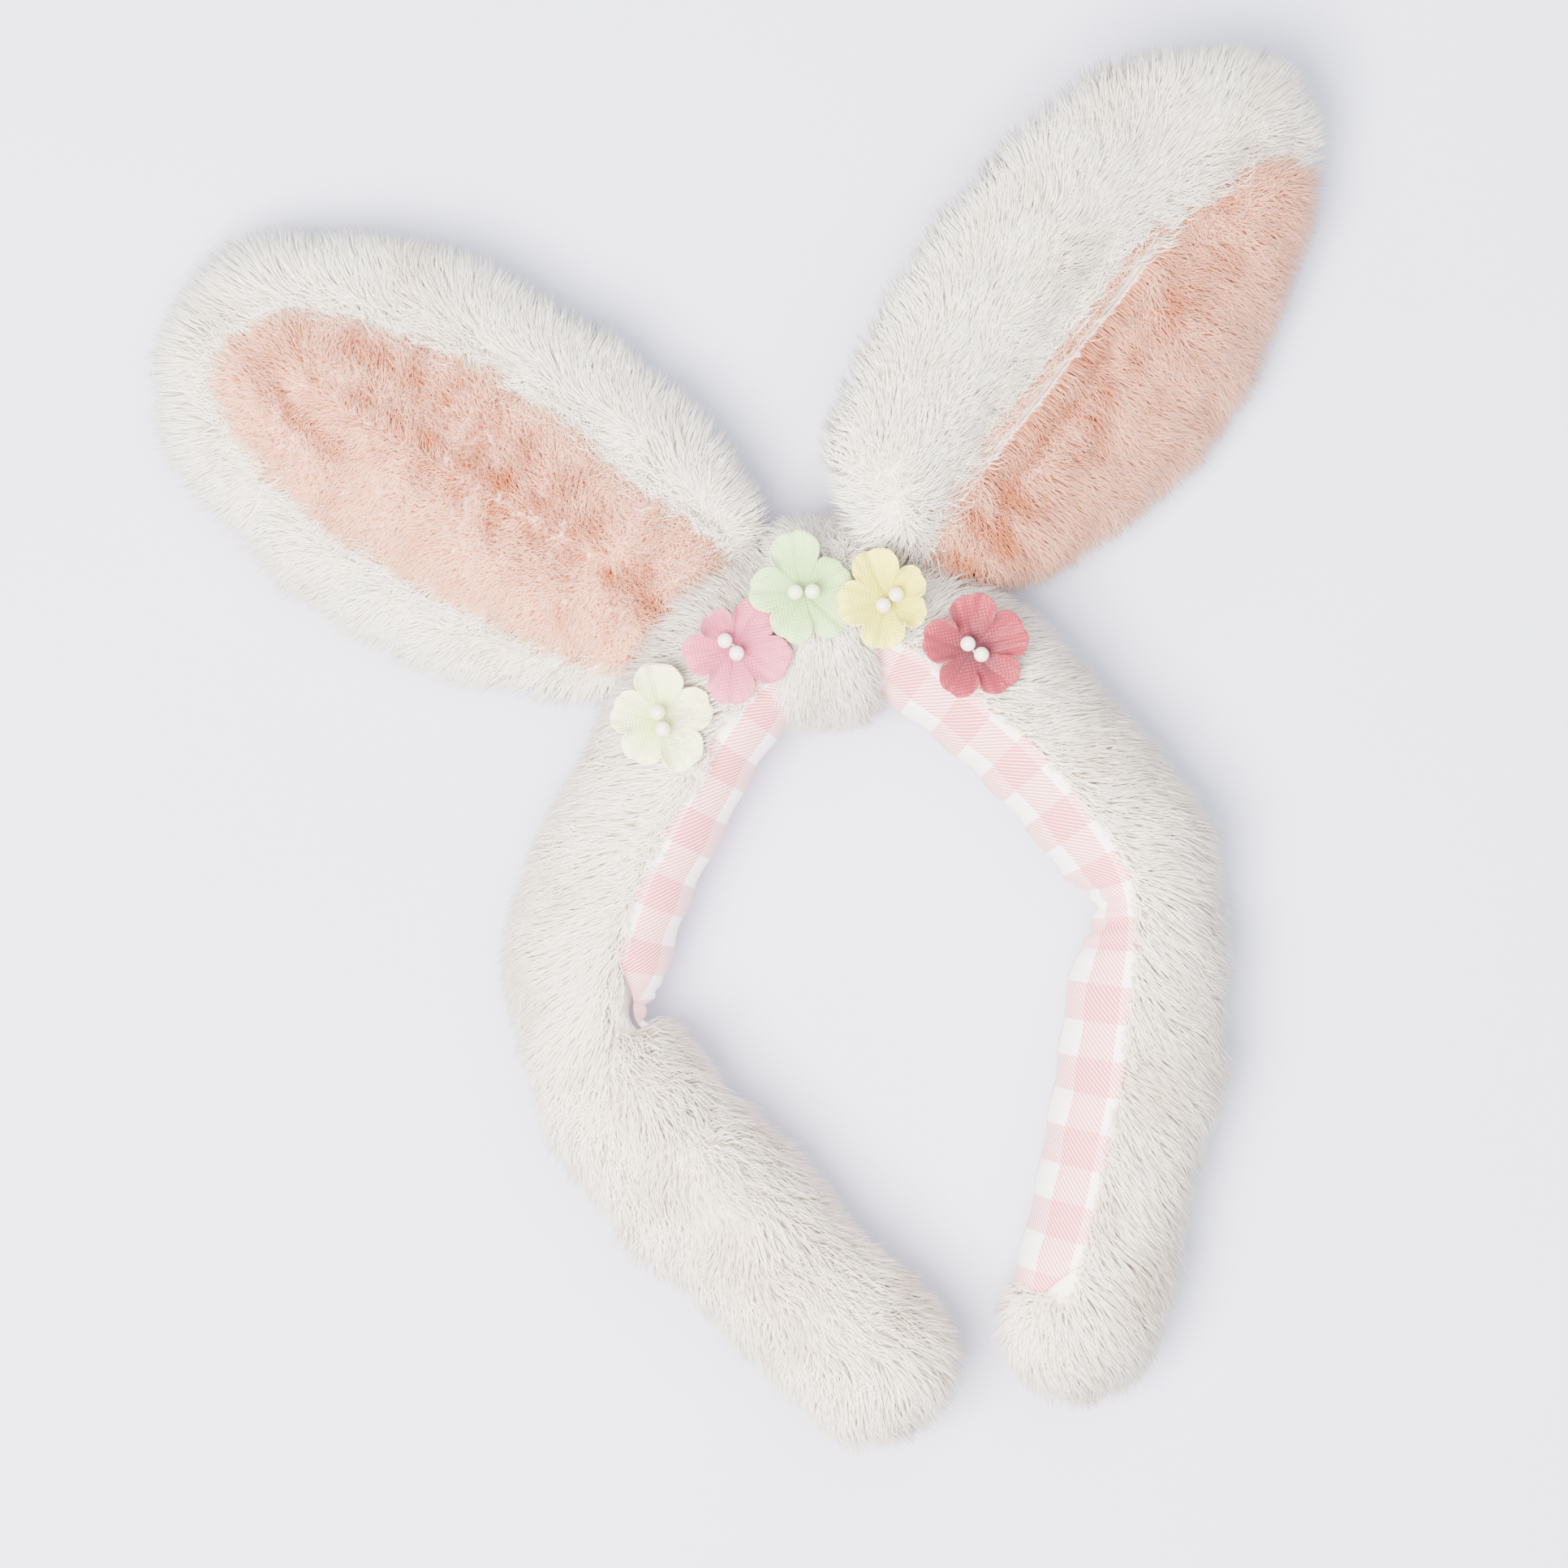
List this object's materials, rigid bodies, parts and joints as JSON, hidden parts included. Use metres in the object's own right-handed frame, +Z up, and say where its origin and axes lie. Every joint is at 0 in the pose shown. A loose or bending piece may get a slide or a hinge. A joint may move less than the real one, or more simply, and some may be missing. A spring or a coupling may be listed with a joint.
{
  "type": "animal ears headband",
  "caption": "Plush rabbit-ear headband: an open C-shaped padded band with a checked lining, fabric flowers at the crown and two wired ears that bend and fold.",
  "frame": {"origin": "under the middle of the crown, on the plane that the headband lies on", "axes": "+Z up from that plane, +Y from the open ends of the band towards the crown and ears, +X to the right ear"},
  "size_m": [0.291, 0.3147, 0.0529],
  "materials": {
    "white_fur": "white pile",
    "band_fur": "off-white pile",
    "pink_fur": "pink pile",
    "gingham": "woven check",
    "wadding": "fibre fill",
    "strip": "moulded",
    "wire": "drawn",
    "thread": "wound thread",
    "glue": "set hot-melt",
    "stem": "waxed thread",
    "pearl": "pearl coat",
    "cream_petals": "felted cloth",
    "pink_petals": "felted cloth",
    "green_petals": "felted cloth",
    "yellow_petals": "felted cloth",
    "rose_petals": "felted cloth"
  },
  "bodies": {
    "crown": {"spring_strip": "strip", "crown_wadding": "wadding", "crown_fur_cover": "band_fur", "crown_fur_wrap": "band_fur", "crown_gingham_lining": "gingham", "flower_glue_dots": "glue", "left_wire_binding": "thread", "right_wire_binding": "thread", "cream_flower_petals": "cream_petals", "cream_flower_pearls": "pearl", "cream_flower_stems": "stem", "pink_flower_petals": "pink_petals", "pink_flower_pearls": "pearl", "pink_flower_stems": "stem", "green_flower_petals": "green_petals", "green_flower_pearls": "pearl", "green_flower_stems": "stem", "yellow_flower_petals": "yellow_petals", "yellow_flower_pearls": "pearl", "yellow_flower_stems": "stem", "rose_flower_petals": "rose_petals", "rose_flower_pearls": "pearl", "rose_flower_stems": "stem"},
    "left_arm": {"left_arm_fur_cover": "band_fur", "left_arm_gingham_lining": "gingham", "left_arm_wadding": "wadding"},
    "left_ear": {"left_ear_fur_back": "white_fur", "left_ear_wadding": "wadding", "left_ear_pink_panel": "pink_fur", "left_ear_wire": "wire"},
    "left_ear_tip": {"left_ear_tip_fur_back": "white_fur", "left_ear_tip_wadding": "wadding", "left_ear_tip_pink_panel": "pink_fur"},
    "right_arm": {"right_arm_fur_cover": "band_fur", "right_arm_gingham_lining": "gingham", "right_arm_wadding": "wadding"},
    "right_ear": {"right_ear_fur_back": "white_fur", "right_ear_wadding": "wadding", "right_ear_pink_panel": "pink_fur", "right_ear_wire": "wire"},
    "right_ear_tip": {"right_ear_tip_fur_back": "white_fur", "right_ear_tip_wadding": "wadding", "right_ear_tip_pink_panel": "pink_fur"}
  },
  "joints": [
    {"name": "left_arm_flex", "type": "hinge", "parent": "crown", "child": "left_arm", "pos_m": [-0.05324, -0.03381, 0.02], "axis": [0, 0, -1], "range_deg": [-3, 16], "stiffness_Nm_per_rad": 0.8, "deforming": ["spring_strip"]},
    {"name": "right_arm_flex", "type": "hinge", "parent": "crown", "child": "right_arm", "pos_m": [0.04849, -0.03859, 0.02], "axis": [0, 0, 1], "range_deg": [-3, 16], "stiffness_Nm_per_rad": 0.8, "deforming": ["spring_strip"]},
    {"name": "left_ear_tilt", "type": "hinge", "parent": "crown", "child": "left_ear", "pos_m": [-0.02747, 0.01776, 0.01401], "axis": [0.8424, 0.5227, 0.1308], "range_deg": [-35, 25], "deforming": ["left_ear_wire"]},
    {"name": "left_ear_tip_fold", "type": "hinge", "parent": "left_ear", "child": "left_ear_tip", "pos_m": [-0.09051, 0.06702, 0.01401], "axis": [0.6097, 0.7803, 0.1392], "range_deg": [-20, 60], "deforming": ["left_ear_wire"]},
    {"name": "right_ear_tilt", "type": "hinge", "parent": "crown", "child": "right_ear", "pos_m": [0.02835, 0.01624, 0.02718], "axis": [0.7144, -0.528, -0.4592], "range_deg": [-35, 16], "deforming": ["right_ear_wire"]},
    {"name": "right_ear_tip_fold", "type": "hinge", "parent": "right_ear", "child": "right_ear_tip", "pos_m": [0.08963, 0.06766, 0.02718], "axis": [0.5675, -0.6764, -0.4695], "range_deg": [-20, 60], "deforming": ["right_ear_wire"]}
  ]
}
